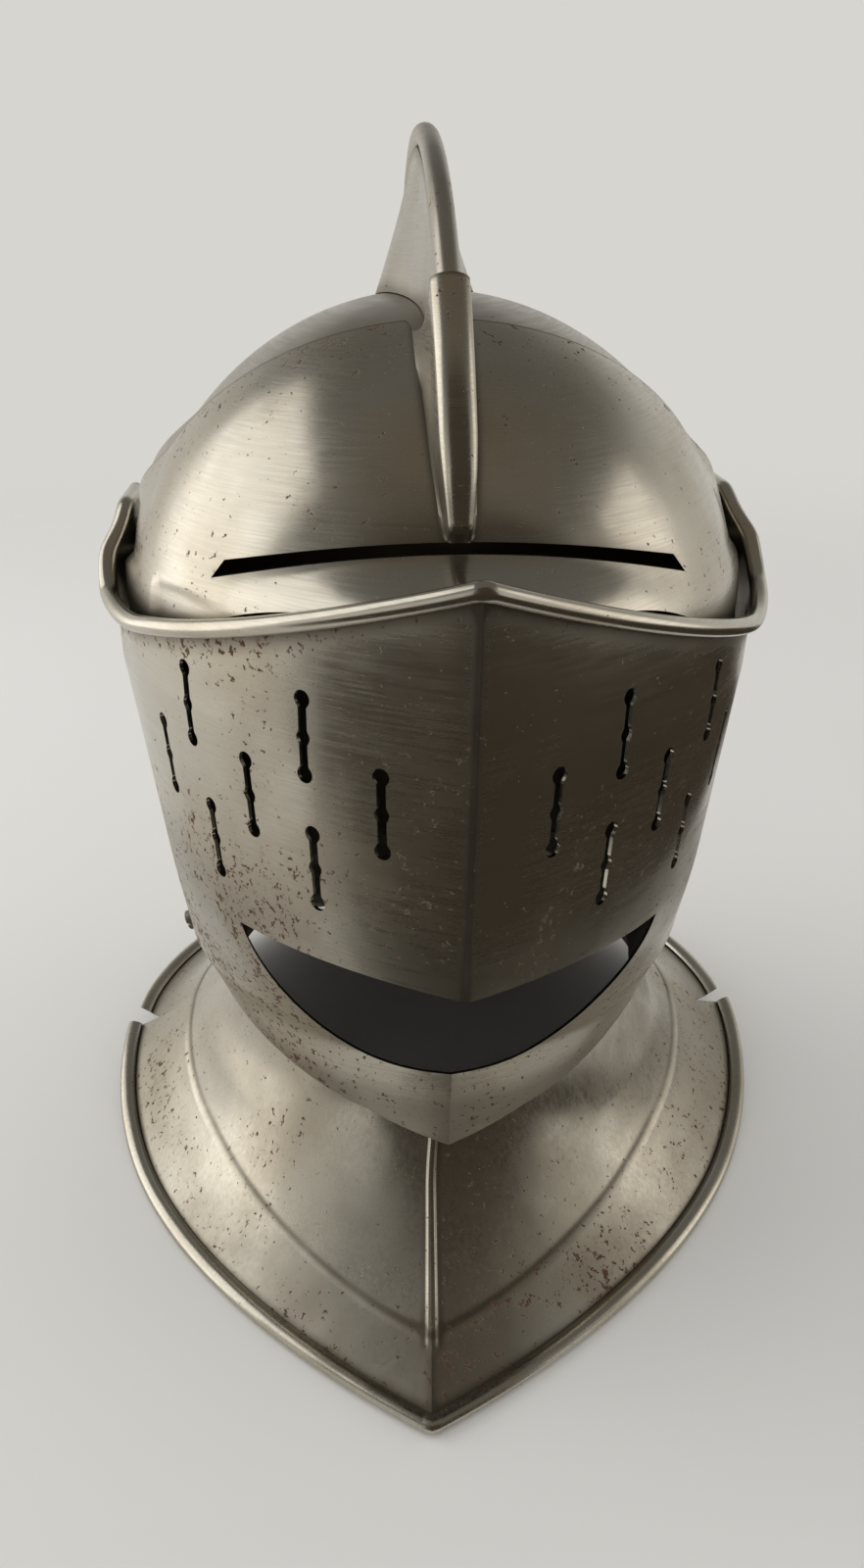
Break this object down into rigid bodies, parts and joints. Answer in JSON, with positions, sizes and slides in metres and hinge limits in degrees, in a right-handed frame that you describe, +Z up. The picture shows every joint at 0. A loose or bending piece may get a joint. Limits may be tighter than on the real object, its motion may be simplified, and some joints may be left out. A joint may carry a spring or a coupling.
{
  "type": "close helmet",
  "caption": "Close helmet with high hollow comb, lifting visor with sight slit, pierced face guard with mouth opening, and pointed gorget plates that it stands on.",
  "frame": {"origin": "centre of the overall box, on the table plane that the gorget stands on", "axes": "+Z up, -Y out of the face, +X to the right of someone who looks at the face"},
  "size_m": [0.2789, 0.3415, 0.3765],
  "materials": {
    "polished_steel": "old polished steel, warm grey, with fine scratches and specks of rust",
    "dark_steel": "steel with old grime",
    "fastener_steel": "worn dull steel"
  },
  "bodies": {
    "helmet": {"skull": "polished_steel", "comb": "polished_steel", "crest_bead": "polished_steel", "gorget_front": "polished_steel", "gorget_front_wire": "dark_steel", "gorget_rear": "polished_steel", "gorget_rear_wire": "dark_steel", "temple_screw_left": "fastener_steel", "temple_screw_right": "fastener_steel", "temple_nut_left": "dark_steel", "temple_nut_right": "dark_steel", "inner_washer_left": "dark_steel", "inner_washer_right": "dark_steel", "outer_washer_left": "dark_steel", "outer_washer_right": "dark_steel", "lock_washer": "fastener_steel", "lock_collar": "dark_steel", "lock_nut": "dark_steel", "gorget_rivet_left": "fastener_steel", "gorget_rivet_right": "fastener_steel", "neck_rivets": "fastener_steel", "neck_rivet_burrs": "dark_steel"},
    "visor": {"visor": "polished_steel"},
    "face_guard": {"face_guard": "polished_steel", "guard_rim_wire": "dark_steel"},
    "lock_screw": {"lock_screw": "fastener_steel"}
  },
  "joints": [
    {"name": "visor_hinge", "type": "hinge", "parent": "helmet", "child": "visor", "pos_m": [0, 0.01625, 0.245], "axis": [-1, 0, 0], "range_deg": [0, 16]},
    {"name": "guard_hinge", "type": "hinge", "parent": "helmet", "child": "face_guard", "pos_m": [0, 0.01625, 0.245], "axis": [-1, 0, 0], "range_deg": [0, 60]},
    {"name": "lock_screw_turn", "type": "hinge", "parent": "helmet", "child": "lock_screw", "pos_m": [-0.09517, -0.00272, 0.09501], "axis": [-0.9395, 0.0164, -0.342], "continuous": true}
  ]
}
